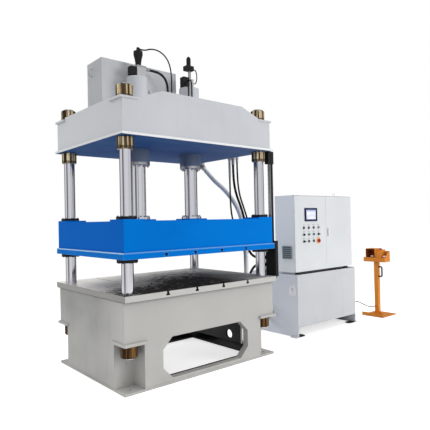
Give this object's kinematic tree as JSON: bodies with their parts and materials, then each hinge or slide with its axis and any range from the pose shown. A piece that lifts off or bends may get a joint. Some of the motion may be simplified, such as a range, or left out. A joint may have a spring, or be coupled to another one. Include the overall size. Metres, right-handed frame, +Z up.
{
  "type": "four-column hydraulic press",
  "caption": "Four-column hydraulic press with guided slide, T-slot bolster, gabled crown with twin cylinders, power unit with control cabinet, and a two-hand pedestal.",
  "frame": {"origin": "centre of the four anchor holes in the press's base plate, at the base plate's underside", "axes": "+X from the press towards its power unit and pedestal, +Y from the operator's side to the back, +Z up"},
  "size_m": [4.529, 1.4, 3.217],
  "materials": {
    "black_plastic": "moulded black plastic",
    "black_rubber": "matte hydraulic hose cover",
    "blue_paint": "glossy blue machine enamel",
    "blue_plastic": "blue push cap",
    "bright_steel": "machined or zinc-plated steel",
    "chrome": "hard chrome, ground and polished",
    "cool_grey_paint": "powder coat with a fine texture",
    "dark_panel": "navy bezel with a pale screen",
    "green_plastic": "grey-green push cap",
    "grey_cable": "grey-green flexible cable sheath",
    "grey_plastic": "slate-grey painted louvre cover",
    "lamp_lens": "dark lens of an unlit lamp",
    "light_grey_paint": "semi-gloss machine enamel over steel plate",
    "motor_paint": "dark grey paint over cast iron",
    "orange_paint": "satin orange enamel",
    "pink_plastic": "pale palm button",
    "red_plastic": "red mushroom head",
    "table_steel": "oiled, planed tool steel, darkened",
    "wiper_black": "black wiper ring and cover",
    "zinc_nut": "yellow zinc plate, worn brown at the edges"
  },
  "bodies": {
    "frame": {"base_plate": "light_grey_paint", "bed_window_plates": "light_grey_paint", "bed_cross_plates": "light_grey_paint", "bed_corner_seats": "light_grey_paint", "bolster_plate": "table_steel", "columns": "chrome", "column_nuts": "zinc_nut", "crown_base_plate": "light_grey_paint", "crown_gable_plates": "light_grey_paint", "crown_cross_plates": "light_grey_paint", "crown_corner_plates": "light_grey_paint", "crown_roof": "light_grey_paint", "main_cylinders": "light_grey_paint", "cylinder_glands": "bright_steel", "prefill_tank": "light_grey_paint", "cylinder_valves": "bright_steel", "valve_plugs": "black_plastic", "hose_bracket": "bright_steel", "hose_fittings": "bright_steel", "limit_rail": "bright_steel", "limit_switches": "black_plastic", "oil_tank": "cool_grey_paint", "tank_cover": "cool_grey_paint", "cabinet": "cool_grey_paint", "switchgear_panel": "bright_steel", "pump_motor": "motor_paint", "vent_cover": "grey_plastic", "pedestal_stand": "orange_paint", "pedestal_head": "orange_paint", "pedestal_handle": "black_plastic", "return_hose": "black_rubber", "pilot_hose_rear": "black_rubber", "pilot_hose_front": "black_rubber", "conduit_upper": "black_rubber", "conduit_lower": "black_rubber", "valve_cable": "black_rubber", "valve_hose": "black_rubber", "pedestal_cable": "grey_cable"},
    "slide": {"slide_frame": "blue_paint", "slide_platen": "blue_paint", "piston_rods": "chrome", "guide_bushes": "bright_steel", "guide_covers": "wiper_black"},
    "left_door": {"door_left": "cool_grey_paint", "hmi_panel": "dark_panel", "button_bezels": "bright_steel", "indicator_lamps": "lamp_lens"},
    "right_door": {"door_right": "cool_grey_paint"},
    "handle": {"door_handle": "black_plastic"},
    "key": {"key_switch": "bright_steel"},
    "mode_knob": {"mode_switch": "black_plastic"},
    "pressure_knob": {"pressure_switch": "black_plastic"},
    "start": {"start_button": "blue_plastic"},
    "raise": {"raise_button": "black_plastic"},
    "lower": {"lower_button": "green_plastic"},
    "stop": {"emergency_stop": "red_plastic"},
    "left_palm": {"palm_button_left": "pink_plastic"},
    "right_palm": {"palm_button_right": "pink_plastic"},
    "desk_stop": {"pedestal_stop": "red_plastic"}
  },
  "joints": [
    {"name": "slide_travel", "type": "slide", "parent": "frame", "child": "slide", "axis": [0, 0, 1], "range_m": [-0.24, 0.38]},
    {"name": "door_left_swing", "type": "hinge", "parent": "frame", "child": "left_door", "pos_m": [1.538, -0.412, 1.24], "axis": [0, 0, -1], "range_deg": [0, 110]},
    {"name": "door_right_swing", "type": "hinge", "parent": "frame", "child": "right_door", "pos_m": [2.722, -0.412, 1.24], "axis": [0, 0, 1], "range_deg": [0, 110]},
    {"name": "door_handle_turn", "type": "hinge", "parent": "right_door", "child": "handle", "pos_m": [2.196, -0.434, 1.28], "axis": [0, 1, 0], "range_deg": [0, 90]},
    {"name": "key_switch_turn", "type": "hinge", "parent": "left_door", "child": "key", "pos_m": [1.993, -0.434, 1.308], "axis": [0, 1, 0], "range_deg": [0, 90]},
    {"name": "mode_switch_turn", "type": "hinge", "parent": "left_door", "child": "mode_knob", "pos_m": [1.993, -0.434, 1.225], "axis": [0, 1, 0], "range_deg": [-45, 45]},
    {"name": "pressure_switch_turn", "type": "hinge", "parent": "left_door", "child": "pressure_knob", "pos_m": [1.708, -0.434, 1.143], "axis": [0, 1, 0], "range_deg": [-45, 45]},
    {"name": "start_button_press", "type": "slide", "parent": "left_door", "child": "start", "axis": [0, 1, 0], "range_m": [0, 0.004], "stiffness_N_per_m": 900, "springref_m": -0.001},
    {"name": "raise_button_press", "type": "slide", "parent": "left_door", "child": "raise", "axis": [0, 1, 0], "range_m": [0, 0.004], "stiffness_N_per_m": 900, "springref_m": -0.001},
    {"name": "lower_button_press", "type": "slide", "parent": "left_door", "child": "lower", "axis": [0, 1, 0], "range_m": [0, 0.004], "stiffness_N_per_m": 900, "springref_m": -0.001},
    {"name": "emergency_stop_press", "type": "slide", "parent": "left_door", "child": "stop", "axis": [0, 1, 0], "range_m": [0, 0.004], "stiffness_N_per_m": 1500, "springref_m": -0.001},
    {"name": "palm_button_left_press", "type": "slide", "parent": "frame", "child": "left_palm", "axis": [0, 0, -1], "range_m": [0, 0.005], "stiffness_N_per_m": 1500, "springref_m": -0.001},
    {"name": "palm_button_right_press", "type": "slide", "parent": "frame", "child": "right_palm", "axis": [0, 0, -1], "range_m": [0, 0.005], "stiffness_N_per_m": 1500, "springref_m": -0.001},
    {"name": "pedestal_stop_press", "type": "slide", "parent": "frame", "child": "desk_stop", "axis": [0, 0, -1], "range_m": [0, 0.004], "stiffness_N_per_m": 1500, "springref_m": -0.001}
  ]
}
